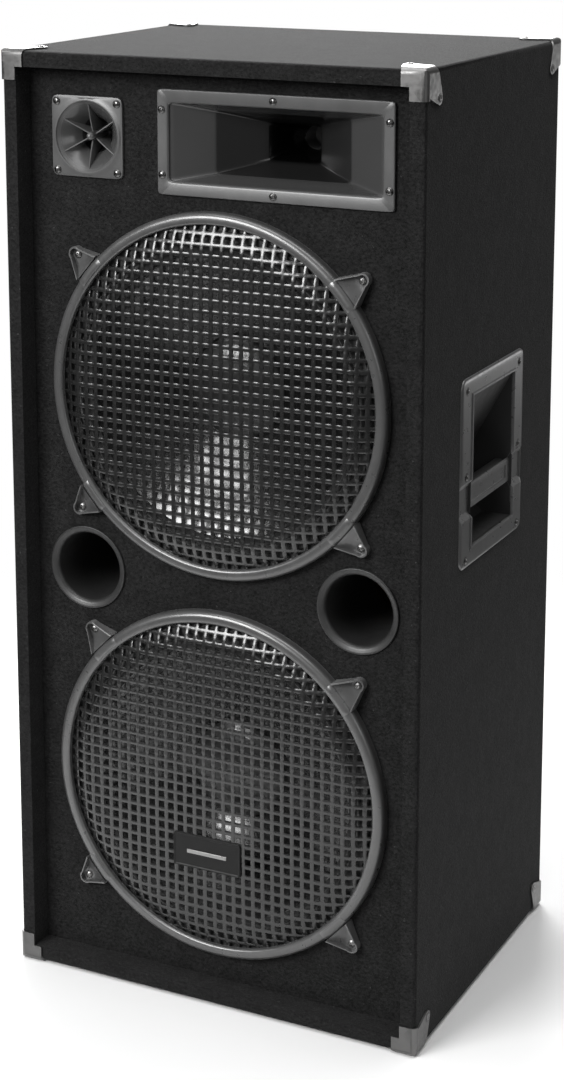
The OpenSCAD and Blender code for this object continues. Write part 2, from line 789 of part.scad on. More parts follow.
module handle(side) {
    band = bar_hi - bar_lo + 2 * band_slope;
    color([0.36, 0.36, 0.37]) on_side(side, 0, handle_z) {
        difference() {
            intersection() {
                across(handle_w) plate_profile();
                translate([0, 0, -10]) linear_extrude(20) round_rect(handle_w, handle_h, 12);
            }
            for (span = [[open_lo, bar_lo], [bar_hi, open_hi]]) translate([-open_w / 2, span[0], -10])
                cube([open_w, span[1] - span[0], 20]);
            handle_screw_places() flat_hole();
        }
        difference() {
            across(open_w + 2 * cup_wall) cup_profile(cup_wall, 0);
            across(open_w) cup_profile(0, 1);
            translate([-open_w, bar_lo - band_slope, -band_d]) cube([2 * open_w, band, 10]);
        }
    }
}

module handle_grips() {
    color([0.2, 0.2, 0.2]) for (side = [-1, 1]) on_side(side, 0, handle_z)
        translate([0, (bar_lo + bar_hi) / 2, -band_d - grip_t / 2])
            across(open_w - 0.4) round_rect(grip_t, 23, 8);
}

// ---------- rear terminal dish ----------

module dish_cutout() {
    translate([0, 0, -panel_t - carpet_t - e]) linear_extrude(panel_t + carpet_t + 2 * e)
        round_rect(dish_w - 24, dish_h - 24, 6);
}

module dish_screw_places() {
    for (sx = [-1, 1], sy = [-1, 1])
        translate([sx * (dish_w / 2 - 7), sy * (dish_h / 2 - 7), 0]) children();
}

module terminal_plate() {
    color([0.1, 0.1, 0.1]) on_rear(0, dish_z) difference() {
        union() {
            linear_extrude(guard_t) round_rect(dish_w, dish_h, 6);
            translate([0, 0, -dish_d]) linear_extrude(dish_d) round_rect(dish_w - 25, dish_h - 25, 6);
        }
        translate([0, 0, -dish_d + 3]) linear_extrude(dish_d) round_rect(dish_w - 31, dish_h - 31, 4);
        for (sx = [-1, 1]) {
            translate([sx * twist_x, twist_up, -dish_d - e]) cylinder(h = 5, r = 12.9);
            translate([sx * twist_x, jack_up, -dish_d - e]) cylinder(h = 5, r = 5.1);
        }
        dish_screw_places() flat_hole();
    }
}

module twist_lock_sockets() {
    color([0.16, 0.16, 0.17]) for (sx = [-1, 1])
        on_rear(sx * twist_x, dish_z + twist_up) translate([0, 0, -dish_d + 3]) {
        difference() {
            union() {
                linear_extrude(2) round_rect(31, 31, 3);
                translate([0, 0, -24]) cylinder(h = 24, r = 12.7);
            }
            translate([0, 0, -20]) cylinder(h = 30, r = 10.8);
        }
        translate([0, 0, -20]) cylinder(h = 9, r = 6);
    }
}

module jack_sockets() {
    color([0.5, 0.5, 0.5]) for (sx = [-1, 1])
        on_rear(sx * twist_x, dish_z + jack_up) translate([0, 0, -dish_d + 3]) difference() {
        union() {
            cylinder(h = 3, r = 8, $fn = 6);
            translate([0, 0, -6]) cylinder(h = 8, r = 5);
            translate([-9, -9, -30]) cube([18, 18, 24]);
        }
        translate([0, 0, -26]) cylinder(h = 40, r = 3.25);
    }
}

// ---------- screws through every flange ----------

module flange_screws() {
    color([0.08, 0.08, 0.08]) {
        on_baffle(tweeter_x, horn_z) tweeter_screw_places() pan_screw();
        on_baffle(horn_x, horn_z) horn_screw_places() pan_screw();
        for (side = [-1, 1]) on_side(side, 0, handle_z) handle_screw_places() flat_screw();
        on_rear(0, dish_z) dish_screw_places() flat_screw();
    }
}

// ---------- crossover, wiring and wadding ----------

board_z = 640;
board_w = 170;
board_h = 110;
standoff = 8;
board_y1 = back_y - standoff;
board_y0 = board_y1 - 2;

module crossover_board() {
    color([0.1, 0.35, 0.2]) {
        slab(-board_w / 2, board_w / 2, board_y0, board_y1, board_z - board_h / 2, board_z + board_h / 2);
        for (sx = [-1, 1], sz = [-1, 1])
            translate([sx * (board_w / 2 - 8), board_y1, board_z + sz * (board_h / 2 - 8)])
                rotate([-90, 0, 0]) cylinder(h = standoff, r = 4);
    }
}

module crossover_coils() {
    color([0.7, 0.42, 0.18]) for (place = [[-52, 22, 24], [8, 24, 20], [56, -22, 18]])
        translate([place[0], board_y0, board_z + place[1]]) rotate([90, 0, 0]) difference() {
            cylinder(h = 24, r = place[2]);
            translate([0, 0, -e]) cylinder(h = 24 + 2 * e, r = place[2] * 0.4);
        }
}

module crossover_capacitors() {
    cap = 8.5;
    color([0.75, 0.65, 0.2]) for (place = [[-55, -30], [-10, -18], [-10, -40], [56, 28]])
        translate([place[0] - 17, board_y0 - cap, board_z + place[1]])
            rotate([0, 90, 0]) cylinder(h = 34, r = cap);
}

wire_r = 1.6;
wire_routes = [
    [[-44, 128, 492], [-44, 110, 520], [-70, 120, 570], [-70, 150, 594]],
    [[-20, 150, 594], [-20, 90, 620], [-60, 20, 640], [-79, -30, upper_z - 23]],
    [[10, 150, 594], [10, 100, 560], [30, 76, 470], [60, 30, 330], [79, -30, lower_z + 21]],
    [[50, 150, 686], [50, 110, 760], [62, 60, 860], [66, 0, horn_z - 12]],
    [[-40, 150, 686], [-60, 90, 780], [-120, 0, 900], [-150, -80, horn_z - 6]]];

module wire(a, b) {
    d = b - a;
    flat = norm([d[0], d[1]]);
    translate(a) rotate([0, atan2(flat, d[2]), atan2(d[1], d[0])])
        cylinder(h = norm(d), r = wire_r, $fn = 16);
    translate(b) sphere(wire_r * 1.15, $fn = 24);
}

module wiring_harness() {
    color("firebrick") for (route = wire_routes, i = [0:len(route) - 2]) wire(route[i], route[i + 1]);
}

module damping_wadding() {
    color([0.85, 0.85, 0.82]) for (side = [-1, 1])
        slab(side > 0 ? iw - 25 : -iw, side > 0 ? iw : -iw + 25, -110, 145, iz0 + 40, port_z - 30);
}

// ---------- the named pieces ----------

side_panel(-1);  // left_side_panel
side_panel(1);  // right_side_panel
end_panel(iz1, pz1);  // top_panel
end_panel(pz0, iz0);  // bottom_panel
front_baffle();
rear_panel();
corner_battens();
cross_brace();
carpet_wrap();
carpet_front();
carpet_rear();
protectors(-1);  // front_corner_protectors
protectors(1);  // rear_corner_protectors
corner_screws();
tweeter_horn();
tweeter_phase_plug();
tweeter_driver();
horn_flare();
horn_driver();
horn_driver_magnet();
horn_diaphragm();
flange_screws();
basket(upper_z);  // upper_basket
surround(upper_z);  // upper_surround
cone(upper_z);  // upper_cone
dust_cap(upper_z);  // upper_dust_cap
voice_coil(upper_z);  // upper_voice_coil
spider(upper_z);  // upper_spider
magnet(upper_z);  // upper_magnet
motor_steel(upper_z);  // upper_motor_steel
basket(lower_z);  // lower_basket
surround(lower_z);  // lower_surround
cone(lower_z);  // lower_cone
dust_cap(lower_z);  // lower_dust_cap
voice_coil(lower_z);  // lower_voice_coil
spider(lower_z);  // lower_spider
magnet(lower_z);  // lower_magnet
motor_steel(lower_z);  // lower_motor_steel
woofer_gaskets();
woofer_screws();
grille_ring(upper_z);  // upper_grille_ring
grille_mesh(upper_z, false);  // upper_grille_mesh
grille_ring(lower_z);  // lower_grille_ring
grille_mesh(lower_z, true);  // lower_grille_mesh
grille_clamps();
clamp_screws();
badge();
port_tube(-1);  // left_port_tube
port_tube(1);  // right_port_tube
handle(-1);  // left_handle
handle(1);  // right_handle
handle_grips();
terminal_plate();
twist_lock_sockets();
jack_sockets();
crossover_board();
crossover_coils();
crossover_capacitors();
wiring_harness();
damping_wadding();
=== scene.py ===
"""Looks of the PA speaker cabinet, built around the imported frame.

-Y is the front, +X the right-hand side seen from the front and +Z is up. Shapes are written in
millimetres, in the same local frames as the CAD source, and become metres in piece().
"""

import json
import math

import bmesh
import bpy
from mathutils import Matrix, Vector
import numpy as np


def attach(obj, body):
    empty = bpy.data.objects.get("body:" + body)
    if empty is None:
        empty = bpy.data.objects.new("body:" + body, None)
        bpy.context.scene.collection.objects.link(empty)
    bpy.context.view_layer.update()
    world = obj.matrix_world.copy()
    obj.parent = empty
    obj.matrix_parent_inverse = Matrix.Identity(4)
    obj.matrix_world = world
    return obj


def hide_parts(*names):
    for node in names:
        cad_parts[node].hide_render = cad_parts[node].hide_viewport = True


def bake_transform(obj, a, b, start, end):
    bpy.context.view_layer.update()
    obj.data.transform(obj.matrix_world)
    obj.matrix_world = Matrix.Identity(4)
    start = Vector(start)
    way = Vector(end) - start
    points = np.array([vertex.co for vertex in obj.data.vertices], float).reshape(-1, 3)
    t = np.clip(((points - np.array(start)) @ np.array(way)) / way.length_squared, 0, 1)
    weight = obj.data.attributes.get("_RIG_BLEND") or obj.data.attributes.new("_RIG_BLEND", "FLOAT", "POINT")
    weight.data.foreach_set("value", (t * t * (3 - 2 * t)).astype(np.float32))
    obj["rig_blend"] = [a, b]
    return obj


MM = 0.001
ROOT = "cabinet"

# Sizes that repeat the CAD source, in millimetres
HEIGHT = 1036          # over the corner protectors
GUARD = 2              # their steel, which wraps the carpeted box
HALF_WIDTH = 242       # of the box alone, as is the half depth
HALF_DEPTH = 193
FACE_Y = -166
WOOFERS = {"upper": 678, "lower": 247}
CLAMP_ANGLES = {"upper": (40, 140, 220, 320), "lower": (41, 135, 220, 317)}
RING_R, RING_IN, RING_H, LIP_W = 197, 184, 12.5, 6.5
HORN_X, HORN_Z = 66, 944
TWEETER_X = -153
PORT_X, PORT_Z, PORT_R, PORT_L = 162, 469, 38, 120
HANDLE_Z = 602
BADGE_X, BADGE_Z = -8, 171
DISH_Z = 470


# ---------- local frames ----------

def on_baffle(x, z, turn=0):
    """Local +Z points forwards out of the baffle and local Y is up."""
    return (Matrix.Translation(Vector((x, FACE_Y, z)) * MM) @ Matrix.Rotation(math.radians(90), 4, "X")
            @ Matrix.Rotation(math.radians(turn), 4, "Z"))


def on_side(side, y, z):
    """Local +Z points out of the side and local Y is up."""
    return (Matrix.Translation(Vector((side * HALF_WIDTH, y, z)) * MM)
            @ Matrix.Rotation(math.radians(side * 90), 4, "Z") @ Matrix.Rotation(math.radians(90), 4, "X"))


def on_rear(x, z):
    """Local +Z points backwards out of the rear and local Y is up."""
    return (Matrix.Translation(Vector((x, HALF_DEPTH, z)) * MM) @ Matrix.Rotation(math.radians(180), 4, "Z")
            @ Matrix.Rotation(math.radians(90), 4, "X"))


def at(x, y, z=0.0, turn=0):
    """A shift in millimetres, with a turn about local Z."""
    return Matrix.Translation(Vector((x, y, z)) * MM) @ Matrix.Rotation(math.radians(turn), 4, "Z")


# ---------- shapes: (points in millimetres, faces) ----------

def lattice(rows, cols, wrap_rows=False, wrap_cols=False):
    """Quads over a grid of points stored row by row."""
    faces = []
    for i in range(rows if wrap_rows else rows - 1):
        for j in range(cols if wrap_cols else cols - 1):
            a, b = i * cols, (i + 1) % rows * cols
            k = (j + 1) % cols
            faces.append((a + j, a + k, b + k, b + j))
    return faces


def revolve(profile, steps=128, closed=False):
    """Turns (radius, height) pairs about local Z."""
    points = []
    for r, w in profile:
        for i in range(steps):
            a = 2 * math.pi * i / steps
            points.append((r * math.cos(a), r * math.sin(a), w))
    return points, lattice(len(profile), steps, closed, True)


def loft(sections, closed=False):
    """Skins a stack of closed sections with equally many points."""
    points = [p for s in sections for p in s]
    return points, lattice(len(sections), len(sections[0]), closed, True)


def arc(cx, cy, r, a0, a1, n):
    """Points of a circular arc, angles in degrees."""
    angles = [math.radians(a0 + (a1 - a0) * i / n) for i in range(n + 1)]
    return [(cx + r * math.cos(a), cy + r * math.sin(a)) for a in angles]


def superellipse(hw, hh, power, w, count=160):
    """A section of given half sizes; a high power makes it nearly rectangular."""
    out = []
    for i in range(count):
        a = 2 * math.pi * (i + 0.5) / count
        c, s = math.cos(a), math.sin(a)
        x = hw * math.copysign(abs(c) ** (2 / power), c)
        y = hh * math.copysign(abs(s) ** (2 / power), s)
        out.append((x, y, w))
    return out


def shifted(shape, matrix):
    """The shape moved by a matrix whose shift is in metres."""
    points, faces = shape
    return [tuple(matrix @ (Vector(p) * MM) / MM) for p in points], faces


def joined(shapes):
    """Several shapes as one."""
    points, faces = [], []
    for shape_points, shape_faces in shapes:
        base = len(points)
        points += list(shape_points)
        faces += [tuple(i + base for i in f) for f in shape_faces]
    return points, faces


def thickened(shape, depth):
    """A sheet with a back at the given depth below it and walls round its edges."""
    points, faces = shape
    base = len(points)
    back = [(x, y, z - depth) for x, y, z in points]
    edges = {}
    for f in faces:
        for a, b in zip(f, f[1:] + f[:1]):
            edges[(a, b)] = (b, a) not in edges
            if not edges[(a, b)]:
                edges[(b, a)] = False
    walls = [(b, a, a + base, b + base) for (a, b), rim in edges.items() if rim]
    return points + back, faces + [tuple(i + base for i in reversed(f)) for f in faces] + walls


def plate(xs, ys, half, radius, height, hole):
    """A sheet over grid lines xs and ys whose outer corners are rounded.

    height(x, y) gives each point's level and hole(x, y) is true at the middle of an open cell."""
    points = []
    for y in ys:
        for x in xs:
            a = (abs(x) - half[0] + radius) / radius
            b = (abs(y) - half[1] + radius) / radius
            px, py = x, y
            if a > 0 and b > 0:
                px = math.copysign(half[0] - radius + radius * a * math.sqrt(1 - b * b / 2), x)
                py = math.copysign(half[1] - radius + radius * b * math.sqrt(1 - a * a / 2), y)
            points.append((px, py, height(x, y)))
    faces = []
    n = len(xs)
    for j in range(len(ys) - 1):
        for i in range(n - 1):
            if not hole((xs[i] + xs[i + 1]) / 2, (ys[j] + ys[j + 1]) / 2):
                faces.append((j * n + i, j * n + i + 1, (j + 1) * n + i + 1, (j + 1) * n + i))
    return points, faces


def both_ways(*values):
    """Grid lines at each value and its mirror image."""
    return sorted({v for x in values for v in (x, -x)})


def block(x0, x1, y0, y1, z0, z1, r=0.6):
    """A box whose edges are rounded by bevels."""
    bm = bmesh.new()
    bmesh.ops.create_cube(bm, size=1)
    for v in bm.verts:
        v.co = Vector((x0 if v.co.x < 0 else x1, y0 if v.co.y < 0 else y1, z0 if v.co.z < 0 else z1))
    bmesh.ops.bevel(bm, geom=bm.edges[:], offset=r, segments=3, profile=0.5, affect="EDGES")
    bm.verts.index_update()
    shape = [tuple(v.co) for v in bm.verts], [tuple(v.index for v in f.verts) for f in bm.faces]
    bm.free()
    return shape


def cross_head(r, h):
    """A domed screw head with a cross recess, sitting on local z = 0."""
    lines = [-1, -0.75, -0.5, -0.45, -0.16, -0.12, 0, 0.12, 0.16, 0.45, 0.5, 0.75, 1]
    points = []
    for y in lines:
        for x in lines:
            px, py = x * math.sqrt(1 - y * y / 2), y * math.sqrt(1 - x * x / 2)
            w = h * (1 - 0.6 * (px * px + py * py) ** 1.5)
            if (abs(x) <= 0.12 and abs(y) <= 0.45) or (abs(y) <= 0.12 and abs(x) <= 0.45):
                w -= 0.45 * h
            points.append((px * r, py * r, w))
    n = len(lines)
    faces = lattice(n, n)
    rim = ([i for i in range(n)] + [i * n + n - 1 for i in range(1, n)]
           + [(n - 1) * n + i for i in range(n - 2, -1, -1)] + [i * n for i in range(n - 2, 0, -1)])
    foot = len(points)
    points += [(points[i][0], points[i][1], 0) for i in rim]
    for k, i in enumerate(rim):
        m = (k + 1) % len(rim)
        faces.append((rim[m], i, foot + k, foot + m))
    return points, faces


# ---------- pieces ----------

def dress(mesh, crease):
    """Welds the mesh, points its faces outwards and shades it smooth below the crease angle."""
    bm = bmesh.new()
    bm.from_mesh(mesh)
    bmesh.ops.remove_doubles(bm, verts=bm.verts, dist=2e-6)
    bmesh.ops.dissolve_degenerate(bm, dist=1e-7, edges=bm.edges)
    bmesh.ops.recalc_face_normals(bm, faces=bm.faces)
    bm.to_mesh(mesh)
    bm.free()
    mesh.shade_smooth()
    mesh.set_sharp_from_angle(angle=math.radians(crease))


def apply_modifiers(obj):
    evaluated = obj.evaluated_get(bpy.context.evaluated_depsgraph_get())
    obj.data = bpy.data.meshes.new_from_object(evaluated)
    obj.modifiers.clear()


def round_edges(obj, width):
    """Bevels the hard edges of obj, in millimetres; a width of 0 leaves them."""
    if width:
        bevel = obj.modifiers.new("edges", "BEVEL")
        bevel.width = width * MM
        bevel.segments = 2
        bevel.limit_method = "ANGLE"
        bevel.angle_limit = math.radians(40)
        bevel.use_clamp_overlap = True
    apply_modifiers(obj)


def weight_normals(obj):
    """Lets large flat faces keep their own normals beside rounded edges."""
    weighted = obj.modifiers.new("normals", "WEIGHTED_NORMAL")
    weighted.keep_sharp = True
    weighted.weight = 100
    apply_modifiers(obj)


def piece(name, shape, look, replaces=(), place=Matrix(), body=ROOT, crease=38):
    """One named object of the visual model, riding on a body; body is None if it will bend between two."""
    points, faces = shape
    mesh = bpy.data.meshes.new(name)
    mesh.from_pydata([tuple(c * MM for c in p) for p in points], [], faces)
    mesh.transform(place)
    dress(mesh, crease)
    mesh.materials.append(look)
    obj = bpy.data.objects.new(name, mesh)
    bpy.context.scene.collection.objects.link(obj)
    if body:
        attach(obj, body)
    if replaces:
        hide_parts(*replaces)
    return obj


OUTLINE_EDGE = 2.3     # longer than a protector's steel is thick


def round_outline(bm, thickness, radius):
    """Rounds the corners of a sheet's outline, which are the sharp edges as long as the sheet is thick."""
    corners = [e for e in bm.edges if e.calc_length() < thickness and len(e.link_faces) == 2
               and e.calc_face_angle(0) > 1.2]
    bmesh.ops.bevel(bm, geom=corners, offset=radius, segments=4, profile=0.5,
                    affect="EDGES", clamp_overlap=True)


def softened(node, look, width, outline=0.0):
    """A copy of a CAD node with its hard edges rounded, standing for that node."""
    mesh = frame["nodes"][node].data.copy()
    mesh.name = node + "_soft"
    bm = bmesh.new()
    bm.from_mesh(mesh)
    bmesh.ops.remove_doubles(bm, verts=bm.verts, dist=2e-6)
    bmesh.ops.dissolve_limit(bm, angle_limit=math.radians(0.5), verts=bm.verts, edges=bm.edges)
    if outline:
        round_outline(bm, OUTLINE_EDGE * MM, outline * MM)
    bm.to_mesh(mesh)
    bm.free()
    mesh.materials.clear()
    mesh.materials.append(look)
    obj = bpy.data.objects.new(node + "_soft", mesh)
    bpy.context.scene.collection.objects.link(obj)
    round_edges(obj, width)
    obj.data.shade_smooth()
    obj.data.set_sharp_from_angle(angle=math.radians(38))
    weight_normals(obj)
    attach(obj, ROOT)
    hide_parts(node)
    return obj


# ---------- materials ----------

def rgb(value, tint=0.0):
    """A near-neutral colour, slightly warm for a positive tint."""
    return (value * (1 + tint), value, value * (1 - tint), 1)


class Look:
    """A procedural material that is built from noise in the row frame."""

    def __init__(self, name, roughness=0.5, metallic=0.0, **sockets):
        self.material = bpy.data.materials.new(name)
        self.material.use_nodes = True
        self.tree = self.material.node_tree
        self.shader = self.tree.nodes["Principled BSDF"]
        self.shader.inputs["Roughness"].default_value = roughness
        self.shader.inputs["Metallic"].default_value = metallic
        for key, value in sockets.items():
            self.shader.inputs[key.replace("_", " ")].default_value = value
        self.place = self.tree.nodes.new("ShaderNodeTexCoord").outputs["Object"]
        self.bump = None

    def node(self, kind, **inputs):
        made = self.tree.nodes.new("ShaderNode" + kind)
        for key, value in inputs.items():
            made.inputs[key.replace("_", " ")].default_value = value
        return made

    def link(self, a, b):
        self.tree.links.new(a, b)

    def noise(self, scale, detail=3.0, stretch=(1, 1, 1)):
        """Noise whose cells are about 1/scale metres across."""
        mapping = self.node("Mapping", Scale=stretch)
        noise = self.node("TexNoise", Scale=scale, Detail=detail, Roughness=0.55)
        self.link(self.place, mapping.inputs["Vector"])
        self.link(mapping.outputs["Vector"], noise.inputs["Vector"])
        return noise.outputs["Fac"]

    def ramp(self, source, low, high, a, b):
        """Colours a below low and b above high."""
        ramp = self.node("ValToRGB")
        ramp.color_ramp.elements[0].position = low
        ramp.color_ramp.elements[1].position = high
        ramp.color_ramp.elements[0].color = a
        ramp.color_ramp.elements[1].color = b
        self.link(source, ramp.inputs["Fac"])
        return ramp.outputs["Color"]

    def mix(self, factor, a, b, mode="MIX"):
        """Blends two colours by a factor that may be a number or a socket."""
        mix = self.tree.nodes.new("ShaderNodeMix")
        mix.data_type = "RGBA"
        mix.blend_type = mode
        for socket, value in ((mix.inputs["Factor"], factor), (mix.inputs[6], a), (mix.inputs[7], b)):
            if isinstance(value, bpy.types.NodeSocket):
                self.link(value, socket)
            else:
                socket.default_value = value
        return mix.outputs[2]

    def spread(self, source, low, high):
        """Carries noise around 0.5 to the range low to high."""
        fit = self.node("MapRange", From_Min=0.3, From_Max=0.7, To_Min=low, To_Max=high)
        self.link(source, fit.inputs["Value"])
        return fit.outputs["Result"]

    def colour(self, source):
        self.link(source, self.shader.inputs["Base Color"])
        return self

    def rough(self, low, high, scale):
        self.link(self.spread(self.noise(scale), low, high), self.shader.inputs["Roughness"])
        return self

    def relief(self, source, strength, distance):
        """Adds bump on top of any bump the look has already."""
        bump = self.node("Bump", Strength=strength, Distance=distance)
        self.link(source, bump.inputs["Height"])
        if self.bump is not None:
            self.link(self.bump, bump.inputs["Normal"])
        self.bump = bump.outputs["Normal"]
        self.link(self.bump, self.shader.inputs["Normal"])
        return self

    def worn_and_highlit(self, colour, edge, low=0.53, high=0.6):
        """Lets the edges show a lighter colour, partly as rubbed paint and partly as a painted highlight
        along them.
        """
        point = self.tree.nodes.new("ShaderNodeNewGeometry").outputs["Pointiness"]
        return self.mix(self.ramp(point, low, high, (0, 0, 0, 1), (1, 1, 1, 1)), colour, edge)


def felt(name, dark, light):
    """Needle-punched carpet: crossing fibres, small lint and a soft sheen."""
    look = Look(name, roughness=0.95, Sheen_Weight=0.06, Sheen_Roughness=0.4, Specular_IOR_Level=0.06)
    fibres = look.mix(0.5, look.noise(900, 2, (1, 0.35, 1)), look.noise(700, 2, (0.35, 1, 0.5)))
    tone = look.ramp(fibres, 0.36, 0.66, rgb(dark), rgb(light))
    mottle = look.ramp(look.noise(45, 4), 0.35, 0.65, rgb(0.78), rgb(1.0))
    lint = look.ramp(look.noise(260, 2), 0.7, 0.76, (0, 0, 0, 1), rgb(0.03))
    look.colour(look.mix(1.0, look.mix(1.0, tone, mottle, "MULTIPLY"), lint, "ADD"))
    look.relief(look.noise(60, 3), 0.25, 0.0012)
    return look.relief(fibres, 0.55, 0.0012).material


def paint(name, tone, roughness=0.4, grain=1200, bump=0.25, tint=0.0, edge=1.6, **sockets):
    """Powder coat or moulded plastic with a fine orange-peel skin."""
    look = Look(name, **sockets)
    base = look.ramp(look.noise(30, 4), 0.3, 0.7, rgb(tone * 0.88, tint), rgb(tone * 1.1, tint))
    # edges lighter by pointiness: partly wear, partly painted highlight; edge sets how much lighter
    look.colour(look.worn_and_highlit(base, rgb(min(tone * edge, 0.9), tint)))
    look.rough(roughness * 0.88, roughness * 1.15, 90)
    return look.relief(look.noise(grain, 2), bump, 0.00012).material


def horn_skin_painted_shade(name, wall=0.036):
    """Satin on the flange and glossy on the walls; the colour darkens with depth as painted shade.

    The walls are darker than the flange, partly as two-tone plastic and partly as painted shade, and the
    colour is painted darker behind the kink and darkest in the neck, where shade falls. The zones start and
    end at depths behind the baffle's face, in millimetres."""
    look = Look(name, Specular_IOR_Level=0.6)
    axes = look.node("SeparateXYZ")
    look.link(look.place, axes.inputs["Vector"])
    skin = look.ramp(look.noise(30, 4), 0.3, 0.7, rgb(0.06), rgb(0.08))
    masks = []
    # painted shade: each deeper zone gets a darker colour for the shade inside the horn; the first zone also
    # parts the satin flange from the glossy walls
    for start, end, tone in ((-2.5, 2, wall), (17.5, 19, 0.01), (44, 52, 0.001)):
        depth = look.node("MapRange", From_Min=(FACE_Y + start) * MM, From_Max=(FACE_Y + end) * MM)
        look.link(axes.outputs["Y"], depth.inputs["Value"])
        masks.append(depth.outputs["Result"])
        skin = look.mix(masks[-1], skin, rgb(tone))
    look.colour(skin)
    gloss = look.node("MapRange", To_Min=0.36, To_Max=0.2)
    look.link(masks[0], gloss.inputs["Value"])
    look.link(gloss.outputs["Result"], look.shader.inputs["Roughness"])
    return look.relief(look.noise(500, 2), 0.2, 0.00012).material


def metal(name, tone, roughness, tint=0.01):
    """Plated or bare metal with a light brushed grain and handling marks."""
    look = Look(name, metallic=1.0)
    base = look.ramp(look.noise(70, 5), 0.35, 0.65, rgb(tone * 0.8, tint), rgb(tone, tint))
    # edges lighter by pointiness: partly wear, partly painted highlight
    look.colour(look.worn_and_highlit(base, rgb(min(tone * 1.2, 0.95), tint)))
    look.rough(roughness * 0.8, roughness * 1.3, 160)
    return look.relief(look.noise(500, 2, (1, 1, 0.05)), 0.18, 0.0001).material


def wood(name, light, dark):
    """Plain wood with upright grain."""
    look = Look(name, roughness=0.7)
    grain = look.noise(160, 6, (1, 1, 0.12))
    look.colour(look.ramp(grain, 0.35, 0.68, light, dark))
    return look.relief(grain, 0.3, 0.0004).material


def cloth(name, light, dark, scale=1500):
    """Woven or fleecy cloth for the parts inside."""
    look = Look(name, roughness=0.9, Sheen_Weight=0.2)
    weave = look.noise(scale, 3)
    look.colour(look.ramp(weave, 0.35, 0.65, dark, light))
    return look.relief(weave, 0.5, 0.0004).material


def pulp(name, tone, roughness):
    """Pressed and lacquered cone paper with visible fibres."""
    look = Look(name, roughness=roughness, Coat_Weight=0.9, Coat_Roughness=0.14)
    fibres = look.noise(650, 4, (1, 1, 0.6))
    look.colour(look.ramp(fibres, 0.35, 0.7, rgb(tone * 0.7), rgb(tone * 1.4)))
    return look.relief(fibres, 0.35, 0.0003).material


def make_looks():
    """One material for each slot of the record, with a few close variants."""
    return {
        "carpet": felt("carpet_felt", 0.006, 0.022),
        "plywood": wood("birch_plywood", (0.62, 0.46, 0.28, 1), (0.42, 0.28, 0.15, 1)),
        "softwood": wood("softwood", (0.7, 0.53, 0.32, 1), (0.5, 0.34, 0.18, 1)),
        "plated_steel": metal("zinc_plate", 0.25, 0.34),
        "corner_steel": metal("corner_steel", 0.13, 0.38),
        # the horn and the tweeter get painted shade that darkens their colour with depth
        "horn_plastic": horn_skin_painted_shade("horn_moulding"),
        "tweeter_plastic": horn_skin_painted_shade("tweeter_moulding", 0.05),
        "bullet_plastic": paint("bullet_moulding", 0.07, 0.2, 400, 0.06, edge=1.5, Specular_IOR_Level=1.0),
        "black_plastic": paint("black_moulding", 0.02, 0.4, 900, 0.3, edge=1.4),
        "badge_face": paint("badge_face", 0.006, 0.5, 900, 0.1, edge=1.4, Specular_IOR_Level=0.25),
        "driver_casing": paint("driver_enamel", 0.05, 0.4),
        "ferrite": paint("ferrite", 0.045, 0.65, 1500, 0.5),
        "diaphragm_metal": metal("diaphragm_foil", 0.25, 0.45),
        "black_screws": metal("black_zinc", 0.16, 0.28),
        "basket_steel": paint("basket_coat", 0.035, 0.38),
        "surround_cloth": cloth("doped_cloth", rgb(0.035), rgb(0.012)),
        "cone_paper": pulp("cone_pulp", 0.012, 0.22),
        "cap_paper": pulp("cap_pulp", 0.03, 0.34),
        "copper": metal("enamelled_copper", 0.5, 0.3, tint=0.35),
        "spider_cloth": cloth("resin_cloth", (0.6, 0.46, 0.22, 1), (0.4, 0.29, 0.12, 1)),
        "motor_steel": metal("motor_steel", 0.5, 0.35),
        "foam_gasket": paint("foam", 0.015, 0.9, 700, 0.6),
        "grille_steel": paint("grille_coat", 0.05, 0.3, 420, 0.06, edge=2.0, Specular_IOR_Level=1.0),
        "mesh_coat": paint("mesh_coat", 0.006, 0.27, 420, 0.04, edge=1.5, Specular_IOR_Level=0.8),
        "board": paint("board_laminate", 0.07, 0.5),
        "film": paint("capacitor_film", 0.4, 0.3, tint=0.4),
        "cable": paint("cable_jacket", 0.12, 0.5, tint=0.6),
        "wadding": cloth("wadding_fleece", rgb(0.8), rgb(0.6), 300),
    }


# ---------- grilles ----------

PITCH = 11.7           # spacing of the pressed holes
STRAND = 2.25          # half width of a strand between two holes
MESH_EDGE = 187        # the sheet ends under the ring's lip


def mesh_level(r):
    """Height of the waffle face above the baffle carpet at radius r."""
    shoulder, crown, crown_h, top = 183, 156, 15, 17
    if r >= shoulder:
        return LIP_W
    if r >= crown:
        return LIP_W + (crown_h - LIP_W) * math.sin(math.pi / 2 * (shoulder - r) / (shoulder - crown))
    return crown_h + (top - crown_h) * (1 - (r / crown) ** 2)


